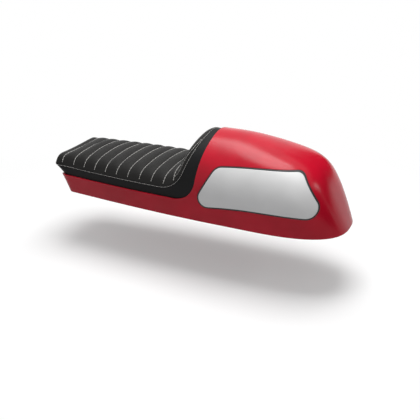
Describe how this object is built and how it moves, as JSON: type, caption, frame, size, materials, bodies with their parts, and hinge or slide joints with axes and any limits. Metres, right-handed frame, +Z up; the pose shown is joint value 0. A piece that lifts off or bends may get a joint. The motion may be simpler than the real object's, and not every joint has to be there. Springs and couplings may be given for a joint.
{
  "type": "cafe racer seat",
  "caption": "Single motorcycle seat: moulded tray and rounded tail hump, channelled pad held by studs, bare board on each side, threaded bosses for the frame.",
  "frame": {"origin": "on the ground plane under the middle of the seat's length and width", "axes": "+X towards the tail, +Y to the right-hand side, +Z up"},
  "size_m": [0.717, 0.233, 0.1845],
  "materials": {
    "red_gelcoat": "gloss",
    "pale_board": "satin",
    "black_edging": "matte",
    "pad_board": "matte",
    "foam": "matte",
    "black_vinyl": "satin",
    "steel": "satin",
    "black_rubber": "matte"
  },
  "bodies": {
    "root": {"tail_shell": "red_gelcoat", "number_board_left": "pale_board", "number_board_right": "pale_board", "board_edging_left": "black_edging", "board_edging_right": "black_edging", "pad_base": "pad_board", "foam_core": "foam", "pleated_panel": "black_vinyl", "bolster_facing": "black_vinyl", "side_band": "black_vinyl", "pad_studs": "steel", "pad_washers": "steel", "pad_nuts": "steel", "frame_boss_front_left": "steel", "rubber_buffer_front_left": "black_rubber", "frame_boss_front_right": "steel", "rubber_buffer_front_right": "black_rubber", "frame_boss_rear_left": "steel", "rubber_buffer_rear_left": "black_rubber", "frame_boss_rear_right": "steel", "rubber_buffer_rear_right": "black_rubber"}
  },
  "joints": []
}
